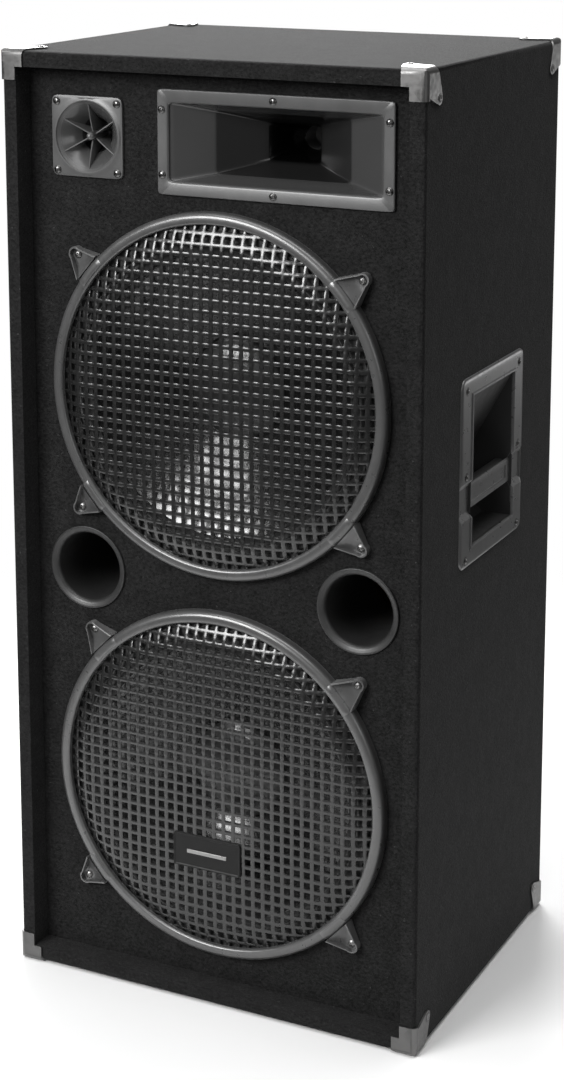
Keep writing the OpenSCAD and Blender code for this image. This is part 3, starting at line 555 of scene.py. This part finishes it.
def waffle():
    """A domed sheet pressed full of square holes, with rounded strands that bulge between crossings."""
    across = [-STRAND, -1.5, 0, 1.5, STRAND]
    gap = PITCH - 2 * STRAND
    reach = int(MESH_EDGE / PITCH) + 1
    lines = []
    for k in range(-reach, reach + 1):
        lines += [(k * PITCH + u, u, True) for u in across]
        lines += [(k * PITCH + STRAND + gap * t, STRAND, False) for t in (1 / 3, 2 / 3)]
    solid = [lines[i][2] and lines[i + 1][2] for i in range(len(lines) - 1)]
    points = []
    inside = []
    for y, v, _ in lines:
        for x, u, _ in lines:
            r = math.hypot(x, y)
            inside.append(r < MESH_EDGE)
            k = min(1, MESH_EDGE / max(r, 1e-6))
            level = mesh_level(min(r, MESH_EDGE))
            drop = 0.6 * (abs(u) / STRAND * abs(v) / STRAND) ** 2
            swell = 0.4 * (math.sin(math.pi * x / PITCH) ** 2 + math.sin(math.pi * y / PITCH) ** 2)
            fade = min(1, max(0, (182 - r) / 6))
            points.append((x * k, y * k, level - drop + (swell - 0.2) * fade))
    n = len(lines)
    faces = []
    for j in range(n - 1):
        for i in range(n - 1):
            quad = (j * n + i, j * n + i + 1, (j + 1) * n + i + 1, (j + 1) * n + i)
            if (solid[i] or solid[j]) and any(inside[q] for q in quad):
                faces.append(quad)
    used = sorted({i for f in faces for i in f})
    index = {old: new for new, old in enumerate(used)}
    return [points[i] for i in used], [tuple(index[i] for i in f) for f in faces]


def ring_profile():
    """The rolled ring: a wide soft outer shoulder, a flat crown and a lip that holds the mesh down."""
    outer_r, inner_r, wall = 6.5, 3.6, 1.2
    outer, inner = RING_R - outer_r, RING_IN + inner_r
    rise, fall = RING_H - outer_r, RING_H - inner_r
    return ([(RING_R, 0.0), (RING_R, 2.6)] + arc(outer, rise, outer_r, 0, 86, 10)
            + [((outer + inner) / 2, RING_H + 0.15)] + arc(inner, fall, inner_r, 94, 180, 8)
            + [(RING_IN, LIP_W + 0.1), (RING_IN + wall, LIP_W + 0.1)]
            + arc(inner, fall, inner_r - wall, 180, 90, 5) + arc(outer, rise, outer_r - wall, 90, 0, 8)
            + [(RING_R - wall, 0.0)])


def clamp_shape():
    """A triangular cast clamp: raised side rims, a pocket for the screw and a pad over the ring."""
    base, tip, tip_r, rim = RING_R + 0.4, 219, 7.5, 2.0
    base_hw = 18

    def half_width(u, shrink):
        centre_hw = math.sqrt(max(0, (tip_r - shrink) ** 2 - max(0, u - tip) ** 2))
        if u >= tip:
            return centre_hw
        return base_hw - shrink + (tip_r - base_hw) * (u - base) / (tip - base)

    rows = [base, 203, 207, 211, 214, 217, 219, 221, 223, 224.3, 224.4, 225.4, 226.1, 226.5]
    points = []
    for u in rows:
        hw, inner = half_width(u, 0), half_width(u, rim)
        top = 14.3 - 6.2 * (u - base) / (226.5 - base)
        floor = 3.1 + 8.4 * max(0, min(1, (212 - u) / (212 - base))) ** 1.3
        if u > 224.3:
            inner, floor = 0, top - 0.2
        edge = min(0.6, hw)
        half = [(hw, 0.1), (hw, top - 0.7), (hw - edge, top), (inner + 0.3 * (inner > 0), top),
                (inner, floor + 0.3), (inner * 0.5, floor)]
        row = [(u, v, w) for v, w in half] + [(u, 0, floor)] + [(u, -v, w) for v, w in reversed(half)]
        points += row
    cols = 13
    faces = lattice(len(rows), cols)
    faces.append(tuple(range(cols)))
    faces += [(i * cols, (i + 1) * cols, (i + 1) * cols + cols - 1, i * cols + cols - 1)
              for i in range(len(rows) - 1)]
    return joined([(points, faces), clamp_saddle()])


def clamp_saddle():
    """The part of a clamp that hugs the outer half of the ring's bead."""
    shoulder, skin, reach = 6.5, 1.2, 5.2
    section = ([(RING_R + 2.4, 3.0), (RING_R + 2.2, 5.5)]
               + arc(RING_R - shoulder, RING_H - shoulder, shoulder + skin, 12, 90, 8)
               + [(RING_R - 8.6, RING_H + skin), (RING_R - 9.6, RING_H + skin - 0.5),
                  (RING_R - 9.9, RING_H - 0.6), (RING_R - 2.5, 3.0)])
    points = []
    steps = 12
    for i in range(steps + 1):
        a = math.radians(reach * (2 * i / steps - 1))
        tuck = 0.8 if i in (0, steps) else 0.0
        points += [(u * math.cos(a), u * math.sin(a), w - tuck) for u, w in section]
    n = len(section)
    faces = lattice(steps + 1, n, False, True)
    faces += [tuple(range(n)), tuple(steps * n + k for k in range(n))]
    return points, faces


def make_grilles(looks):
    """A waffle and a ring for each woofer, with four clamps and their screws."""
    sheet = thickened(waffle(), 1.1)
    clamp = clamp_shape()
    clamps, screws = [], []
    for name, z in WOOFERS.items():
        piece(f"{name}_waffle", sheet, looks["mesh_coat"], [f"{name}_grille_mesh"],
              on_baffle(0, z), crease=60)
        piece(f"{name}_ring", revolve(ring_profile(), 200, True), looks["grille_steel"],
              [f"{name}_grille_ring"], on_baffle(0, z), crease=50)
        for angle in CLAMP_ANGLES[name]:
            place = on_baffle(0, z, angle)
            clamps.append(shifted(clamp, place))
            screws.append(shifted(cross_head(4, 2.6), place @ at(217, 0, 3.2, 30 + 7 * angle)))
    piece("clamp_castings", joined(clamps), looks["grille_steel"],
          ["grille_clamps"], crease=35)
    piece("clamp_screw_heads", joined(screws), looks["plated_steel"], ["clamp_screws"])


# ---------- horn and tweeter ----------

HORN_FACE = 4.0        # height of the horn's flange above the carpet


def horn_shape():
    """Flange, rounded mouth lip, kinked flare and the round neck behind it.

    Each section is half width, half height, power and height above the carpet."""
    flange = [(134.0, 55.0, 44, 0.1), (134.0, 55.0, 44, 2.9), (133.6, 54.6, 44, 3.6),
              (132.8, 53.8, 44, 4.0), (123.8, 43.8, 30, 4.0), (122.4, 42.4, 30, 3.5),
              (121.3, 41.3, 30, 2.2)]
    flare = [(121, 41, 26, 0), (98.5, 36.7, 26, -9.4), (77.2, 32.9, 26, -18.2), (75.4, 32.6, 26, -19.2),
             (52, 26.8, 22, -33.5), (30.4, 20.9, 18, -47.2), (28.6, 19.8, 14, -50)]
    neck = [(25, 17.5, 8, -60), (20, 15.5, 4, -76), (12.7, 12.7, 2, -96), (12.7, 12.7, 2, -100)]
    shell = [(16, 16, 2, -100), (24, 19, 4, -76), (29, 21.5, 8, -60), (33, 24, 14, -48), (79, 36, 26, -18),
             (123, 44, 26, -0.5), (133, 54, 40, -0.5)]
    return loft([superellipse(*section, 240) for section in flange + flare + neck + shell], closed=True)


def tweeter_flare(w):
    """Radius of the tweeter's bowl at height w."""
    return 10 + 27.5 * ((w + 38) / 41) ** 1.6


def tweeter_plate_shape():
    """Square flange whose face runs smoothly into the bowl."""
    steps = 144
    bowl_ws = [-38 + 41 * (i / 18) for i in range(19)]
    sections = []
    for hw, power, w in ((43, 14, 0.1), (43, 14, 2.4), (42.7, 14, 3.0), (42.1, 14, 3.2), (40.9, 3, 3.3)):
        sections.append(superellipse(hw, hw, power, w, steps))
    for r, w in ((40.4, 4.2), (39.6, 4.5), (38.3, 4.5), (37.7, 4.1)):
        sections.append(superellipse(r, r, 2, w, steps))
    for w in reversed(bowl_ws):
        r = tweeter_flare(w)
        sections.append(superellipse(r, r, 2, w, steps))
    for r, w in ((12, -42), (26, -42), (26, -30), (39, -12), (39, -0.5), (42, -0.5)):
        sections.append(superellipse(r, r, 2 if r < 40 else 9, w, steps))
    return loft(sections, closed=True)


def tweeter_plug_shape():
    """The bullet on its six thin vanes, which run out to the rim of the bowl."""
    bullet = revolve([(0.01, 0.0), (2.2, -0.7), (3.8, -2.2), (4.6, -4.4), (4.4, -7.0), (5.4, -12),
                      (6.6, -19), (6.2, -27), (3.5, -36), (0.01, -37)], 40)
    vanes = []
    for k in range(6):
        profile = []
        for i in range(9):
            t = i / 8
            r = 4.4 + t * 31.8
            front = -8.5 + 9.5 * t ** 0.8
            floor = -38 + 41 * (max(0, r - 10) / 27.5) ** (1 / 1.6)
            half = 0.75 - 0.25 * t
            section = ((half, floor - 1), (half, front - 0.4), (0, front),
                       (-half, front - 0.4), (-half, floor - 1))
            profile += [(r, v, min(w, 2.8)) for v, w in section]
        vanes.append(shifted((profile, lattice(9, 5, False, True)), at(0, 0, 0, 30 + 60 * k)))
    return joined([bullet] + vanes)


def make_horns(looks):
    """The wide horn, and the tweeter with its bullet."""
    piece("horn_moulding", horn_shape(), looks["horn_plastic"], ["horn_flare"],
          on_baffle(HORN_X, HORN_Z), crease=24)
    piece("tweeter_moulding", tweeter_plate_shape(), looks["tweeter_plastic"],
          ["tweeter_horn"], on_baffle(TWEETER_X, HORN_Z), crease=32)
    piece("tweeter_bullet", tweeter_plug_shape(), looks["bullet_plastic"],
          ["tweeter_phase_plug"], on_baffle(TWEETER_X, HORN_Z), crease=40)


# ---------- handles ----------

BAR_LO, BAR_HI = -43, -16    # lower and upper edge of the bar
OPEN = 81                    # half height of the openings
HANDLE_HALF = (91, 103)


def handle_level(x, y):
    """Height of the pressed plate: bevelled edge, rolled openings and a sunk band behind the bar."""
    dx, dy = HANDLE_HALF[0] - abs(x), HANDLE_HALF[1] - abs(y)
    edge = min(dx, dy)
    if edge < 0.1:
        return 0.1
    level = min(2.0, 0.6 + 0.5 * edge)
    if BAR_LO - 7.1 < y < BAR_HI + 7.1:
        slope = max(0, BAR_LO - y, y - BAR_HI) / 7
        level = min(level, -2.0 + 4.0 * min(1, slope))
        if abs(x) < 52 and BAR_LO + 6.5 < y < BAR_HI - 6.5:
            level -= 1.4
    lip = max(abs(x) - 60, abs(y) - OPEN)
    if -0.1 < lip < 4.2 and level > 1.9:
        level += 1.3 if 0.6 < lip < 3.2 else 0.0
    if lip < 0.1 and not BAR_LO + 0.1 < y < BAR_HI - 0.1:
        level -= 1.2
    return level


def handle_plate_shape():
    """The pressed plate, with grid lines wherever its level changes."""
    corner = [91, 90.2, 88.6, 86, 82.5, 79]
    xs = both_ways(*corner, 70, 64, 63, 61, 60, 52.1, 51.4, 26) + [0]
    ys = [103, 102.2, 100.6, 98, 94.5, 91, 86, 85, 84, 82, 81, 60, 30, 0, BAR_HI + 7, BAR_HI + 3.5, BAR_HI,
          BAR_HI - 1.2, BAR_HI - 5.8, BAR_HI - 6.6, -29.5, BAR_LO + 6.6, BAR_LO + 5.8, BAR_LO + 1.2, BAR_LO,
          BAR_LO - 3.5, BAR_LO - 7, -66, -81, -82, -84, -85, -86, -91, -94.5, -98, -100.6, -102.2, -103]

    def hole(x, y):
        return abs(x) < 60 and abs(y) < OPEN and not BAR_LO < y < BAR_HI

    return thickened(plate(sorted(xs), sorted(ys), HANDLE_HALF, 12, handle_level, hole), 1.2)


def cup_shape():
    """The cup behind the openings, with its long sloping ceiling."""
    def loop(grow, x):
        return [(x, -OPEN - grow, 0.6), (x, -OPEN - grow, -32), (x, -57 - grow, -64 - grow),
                (x, -38, -64 - grow), (x, -20, -54 - grow), (x, OPEN + grow, 0.6)]
    inner, outer = 60.0, 62.0
    sections = [loop(0, -inner), loop(0, inner), loop(2, outer), loop(2, -outer)]
    points = [p for s in sections for p in s]
    n = len(sections[0])
    faces = [(i, i + 1, n + i + 1, n + i) for i in range(n - 1)]
    faces += [(2 * n + i, 2 * n + i + 1, 3 * n + i + 1, 3 * n + i) for i in range(n - 1)]
    faces += [tuple(range(n)), tuple(range(n, 2 * n))]
    faces += [tuple(range(2 * n, 3 * n)), tuple(range(3 * n, 4 * n))]
    return points, faces


def make_handles(looks):
    """A plate and a cup in each side."""
    plate_shape = handle_plate_shape()
    cup = cup_shape()
    for side, name in ((-1, "left"), (1, "right")):
        place = on_side(side, 0, HANDLE_Z)
        piece(f"{name}_handle_plate", plate_shape, looks["grille_steel"],
              [f"{name}_handle"], place, crease=28)
        piece(f"{name}_handle_cup", cup, looks["black_plastic"], (), place, crease=20)


# ---------- screws ----------

def make_screws(looks):
    """Heads of the screws in the horn, tweeter, handles and terminal dish, each turned its own way."""
    pan = cross_head(4, 2.6)
    flat = cross_head(3.3, 1.5)
    dark_disc = revolve([(0.01, 0.03), (5.0, 0.03)], 32)
    heads, dark_discs = [], []
    tweeter = on_baffle(TWEETER_X, HORN_Z)
    horn = on_baffle(HORN_X, HORN_Z)
    for sx in (-1, 1):
        for sy in (-1, 1):
            heads.append(shifted(pan, tweeter @ at(sx * 36.5, sy * 36.5, 3.4, 20 + 50 * sx + 30 * sy)))
            heads.append(shifted(pan, horn @ at(sx * 128.4, sy * 34, HORN_FACE - 0.1, 35 * sx + 20 * sy)))
    for sy in (-1, 1):
        heads.append(shifted(pan, horn @ at(0, sy * 48.4, HORN_FACE - 0.1, 15 * sy)))
    for side in (-1, 1):
        place = on_side(side, 0, HANDLE_Z)
        for sy in (-1, 1):
            for v in (-94, -3, 89):
                heads.append(shifted(flat, place @ at(sy * 76, v, 2.0, v * 3 + 40 * sy)))
                dark_discs.append(shifted(dark_disc, place @ at(sy * 76, v, 2.0)))
    for sx in (-1, 1):
        for sy in (-1, 1):
            place = on_rear(sx * 81, DISH_Z + sy * 56)
            heads.append(shifted(flat, place @ at(0, 0, 1.6, 25 * sx + 60 * sy)))
    piece("flange_screw_heads", joined(heads), looks["black_screws"], ["flange_screws"])
    piece("handle_screw_seats", joined(dark_discs), looks["black_plastic"])


TAB_REACH = 30         # from both edges to the screw of a protector's tab


def corner_places():
    """Where the protectors' screws sit, leaving the cabinet along local +Z, and how high the heads rise."""
    for sx in (-1, 1):
        for sy in (-1, 1):
            x, y = sx * (HALF_WIDTH - TAB_REACH), sy * (HALF_DEPTH - TAB_REACH)
            yield at(x, y, HEIGHT, 40 * sx + 25 * sy), 1.3
            yield at(x, y, 0) @ Matrix.Rotation(math.pi, 4, "X"), 0.1
            for z in (GUARD + TAB_REACH, HEIGHT - GUARD - TAB_REACH):
                yield on_side(sx, y, z) @ at(0, 0, GUARD, 20 * sx + 50 * sy), 1.3
                if sy > 0:
                    yield on_rear(x, z) @ at(0, 0, GUARD, 35 * sx), 1.3


def make_corner_screws(looks):
    """Domed heads in the corner protectors, each on a flat dark disc that is painted shade of the hole round
    it.
    """
    head_r, shade_disc_r = 3.6, 4.9
    # painted shade: a flat black disc round each head stands for the shade in its hole
    dark_disc = revolve([(0.01, 0.02), (shade_disc_r, 0.02)], 32)
    heads, dark_discs = [], []
    for place, rise in corner_places():
        heads.append(shifted(cross_head(head_r, rise), place))
        dark_discs.append(shifted(dark_disc, place))
    piece("corner_screw_heads", joined(heads), looks["plated_steel"], ["corner_screws"])
    piece("corner_screw_shade_discs", joined(dark_discs), looks["black_plastic"])


# ---------- ports, badge ----------

def make_ports(looks):
    """Two tubes with rolled flanges."""
    wall = PORT_R + 2
    profile = ([(PORT_R, -PORT_L), (PORT_R, -30), (PORT_R + 0.2, -9)]
               + arc(PORT_R + 6.2, -4.2, 6.2, 180, 100, 8) + [(PORT_R + 6.4, 2.6)]
               + arc(PORT_R + 7.2, 1.5, 1.3, 70, 0, 4)
               + [(PORT_R + 8.5, 0.1), (wall, 0.1), (wall, -PORT_L)])
    for side, name in ((-1, "left"), (1, "right")):
        piece(f"{name}_port", revolve(profile, 128, True), looks["black_plastic"],
              [f"{name}_port_tube"], on_baffle(side * PORT_X, PORT_Z), crease=40)


def make_badge(looks):
    """A blank plate with a fine raised border and one plain raised bar."""
    half = (41, 19)
    xs = both_ways(41, 40.4, 39.2, 38.2, 37.6, 20) + [0]
    ys = both_ways(19, 18.4, 17.2, 16.2, 15.6) + [0]

    def level(x, y):
        inset = min(half[0] - abs(x), half[1] - abs(y))
        if inset < 0.3:
            return 0.9
        return 1.8 if inset < 2.0 else 1.2

    sheet = thickened(plate(sorted(xs), sorted(ys), half, 2.5, level, lambda x, y: False), 1.0)
    place = on_baffle(BADGE_X, BADGE_Z) @ at(0, 0, 16.9)
    piece("badge_plate", sheet, looks["badge_face"], ["badge"], place, crease=30)
    bar = block(-24, 24, -2.2, 2.2, 1.1, 1.9, 0.35)
    piece("badge_bar", bar, looks["plated_steel"], (), place, crease=30)


# ---------- cone suspensions ----------

def pleated_ring(inner, outer, low, high, waves, depth, feet, thick):
    """A corrugated ring between two flat feet, turned about the driver's axis."""
    line = [(inner - feet[0], low)]
    for i in range(8 * waves + 1):
        t = i / (8 * waves)
        rise = depth * abs(math.sin(math.pi * waves * t))
        line.append((inner + (outer - inner) * t, low + (high - low) * t + rise))
    line.append((outer + feet[1], high))
    return revolve(line + [(r, w + thick) for r, w in reversed(line)], 180, True)


def make_suspensions(looks):
    """Surrounds and spiders that bend: their inner feet follow the cone and their outer feet stay.

    bake_transform() weights a piece along a straight line, so its weights are overwritten by radial ones."""
    rings = (("surround", 158, 169, pleated_ring(158, 169, 0, 2, 2, 2.6, (5, 10), 0.7)),
             ("spider", 44, 88, pleated_ring(44, 88, -63.6, -64, 6, 2.2, (5.9, 11), 0.5)))
    for name, z in WOOFERS.items():
        for kind, inner, outer, shape in rings:
            node = f"{name}_{kind}"
            slot = f"{kind}_cloth"
            obj = piece(f"{node}_flexing", shape, looks[slot], [node], on_baffle(0, z), body=None)
            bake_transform(obj, ROOT, f"{name}_cone_body", (0, 0, (z + outer) * MM), (0, 0, (z + inner) * MM))
            weights = obj.data.attributes["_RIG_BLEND"].data
            for vertex in obj.data.vertices:
                r = math.hypot(vertex.co.x, vertex.co.z - z * MM) / MM
                t = min(max((outer - r) / (outer - inner), 0), 1)
                weights[vertex.index].value = t * t * (3 - 2 * t)


# ---------- CAD nodes that keep their shape ----------

def carry_over(looks):
    """Gives every remaining CAD node its look, rounding the edges of those that show."""
    slots = {s["node"]: s["material_slot"] for s in frame["record"]["subparts"]}
    rounded = {"carpet_wrap": 0, "carpet_front": 0, "carpet_rear": 0,
               "front_corner_protectors": 0.7, "rear_corner_protectors": 0.7,
               "terminal_plate": 0.8, "twist_lock_sockets": 0.5, "jack_sockets": 0.4,
               "handle_grips": 1.5}
    variants = {"corner_protectors": "corner_steel", "dust_cap": "cap_paper"}
    for name, obj in frame["nodes"].items():
        look = looks[variants.get(name.partition("_")[2], slots[name])]
        if name in rounded:
            softened(name, look, rounded[name], 2.6 if "protectors" in name else 0.0)
            continue
        obj.data.materials.clear()
        obj.data.materials.append(look)
        obj.data.shade_smooth()
        obj.data.set_sharp_from_angle(angle=math.radians(32))


# ---------- stage ----------

def area_light(name, place, target, size, power):
    """A rectangular lamp that lights the cabinet and isn't seen itself."""
    data = bpy.data.lights.new(name, "AREA")
    data.shape = "RECTANGLE"
    data.size, data.size_y = size
    data.energy = power
    obj = bpy.data.objects.new(name, data)
    obj.location = place
    obj.rotation_euler = (Vector(target) - Vector(place)).to_track_quat("-Z", "Y").to_euler()
    obj.visible_camera = False
    bpy.context.scene.collection.objects.link(obj)


def make_floor():
    """A pale round floor that fades out into the white backdrop."""
    look = Look("studio_floor", roughness=0.9)
    look.colour(look.ramp(look.noise(2, 2), 0.3, 0.7, rgb(0.70), rgb(0.72)))
    gradient = look.node("TexGradient")
    gradient.gradient_type = "SPHERICAL"
    scaled = look.node("Mapping", Scale=(0.7, 0.7, 0.7))
    look.link(look.place, scaled.inputs["Vector"])
    look.link(scaled.outputs["Vector"], gradient.inputs["Vector"])
    fade = look.node("MapRange", From_Min=0.02, From_Max=0.55)
    fade.interpolation_type = "SMOOTHSTEP"
    look.link(gradient.outputs["Fac"], fade.inputs["Value"])
    look.link(fade.outputs["Result"], look.shader.inputs["Alpha"])
    bpy.ops.mesh.primitive_circle_add(vertices=128, radius=1.6, fill_type="NGON")
    floor = bpy.context.object
    floor.name = "studio_floor"
    floor.location.z = -0.0005
    floor.data.materials.append(look.material)


def make_world():
    """White to look at, but a dim room as a source of light, brighter overhead."""
    world = bpy.data.worlds.new("studio")
    bpy.context.scene.world = world
    world.use_nodes = True
    tree = world.node_tree
    seen = tree.nodes["Background"]
    seen.inputs["Color"].default_value = (1, 1, 1, 1)
    room = tree.nodes.new("ShaderNodeBackground")
    place = tree.nodes.new("ShaderNodeTexCoord")
    axes = tree.nodes.new("ShaderNodeSeparateXYZ")
    height = tree.nodes.new("ShaderNodeMapRange")
    for key, value in (("From Min", 0.0), ("From Max", 1.0), ("To Min", 0.14), ("To Max", 0.6)):
        height.inputs[key].default_value = value
    rays = tree.nodes.new("ShaderNodeLightPath")
    mix = tree.nodes.new("ShaderNodeMixShader")
    tree.links.new(place.outputs["Generated"], axes.inputs["Vector"])
    tree.links.new(axes.outputs["Z"], height.inputs["Value"])
    tree.links.new(height.outputs["Result"], room.inputs["Strength"])
    tree.links.new(rays.outputs["Is Camera Ray"], mix.inputs["Fac"])
    tree.links.new(room.outputs["Background"], mix.inputs[1])
    tree.links.new(seen.outputs["Background"], mix.inputs[2])
    tree.links.new(mix.outputs["Shader"], tree.nodes["World Output"].inputs["Surface"])


def make_stage():
    """Floor, backdrop and five lamps."""
    make_floor()
    make_world()
    area_light("key_left", (-1.1, -2.6, 2.05), (0, 0, 0.75), (1.7, 1.3), 120)
    area_light("overhead", (0.1, 0.0, 3.6), (0, 0, 0), (3.2, 3.2), 125)
    area_light("rim_back", (-1.5, 2.8, 2.1), (0, 0, 1.0), (1.8, 1.4), 130)
    area_light("low_back", (1.7, 2.9, 0.38), (0.24, 0, 0.6), (1.2, 0.7), 7)
    area_light("fill_right", (2.8, -1.6, 1.5), (0.2, 0, 0.5), (1.2, 1.2), 8)
    bpy.context.scene.view_settings.view_transform = "Standard"


def make_camera():
    """The camera that stands where the cabinet was viewed from."""
    data = bpy.data.cameras.new("camera")
    data.lens = 73.76
    data.sensor_width = 36
    data.shift_y = -0.25
    data.clip_end = 100
    obj = bpy.data.objects.new("camera", data)
    obj.location = (1.0554, -2.1515, 1.2464)
    obj.rotation_euler = (math.radians(90 - 10.895), 0, math.radians(26.297))
    bpy.context.scene.collection.objects.link(obj)
    bpy.context.scene.camera = obj


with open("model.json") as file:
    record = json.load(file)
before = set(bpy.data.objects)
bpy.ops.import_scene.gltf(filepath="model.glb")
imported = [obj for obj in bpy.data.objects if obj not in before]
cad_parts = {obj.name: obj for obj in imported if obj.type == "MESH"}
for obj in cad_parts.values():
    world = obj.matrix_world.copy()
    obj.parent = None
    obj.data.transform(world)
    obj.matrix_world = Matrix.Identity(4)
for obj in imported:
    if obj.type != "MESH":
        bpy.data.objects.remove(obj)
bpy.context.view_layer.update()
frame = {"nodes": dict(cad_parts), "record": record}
make_camera()
make_stage()
LOOKS = make_looks()
carry_over(LOOKS)
make_grilles(LOOKS)
make_horns(LOOKS)
make_handles(LOOKS)
make_screws(LOOKS)
make_corner_screws(LOOKS)
make_ports(LOOKS)
make_badge(LOOKS)
make_suspensions(LOOKS)
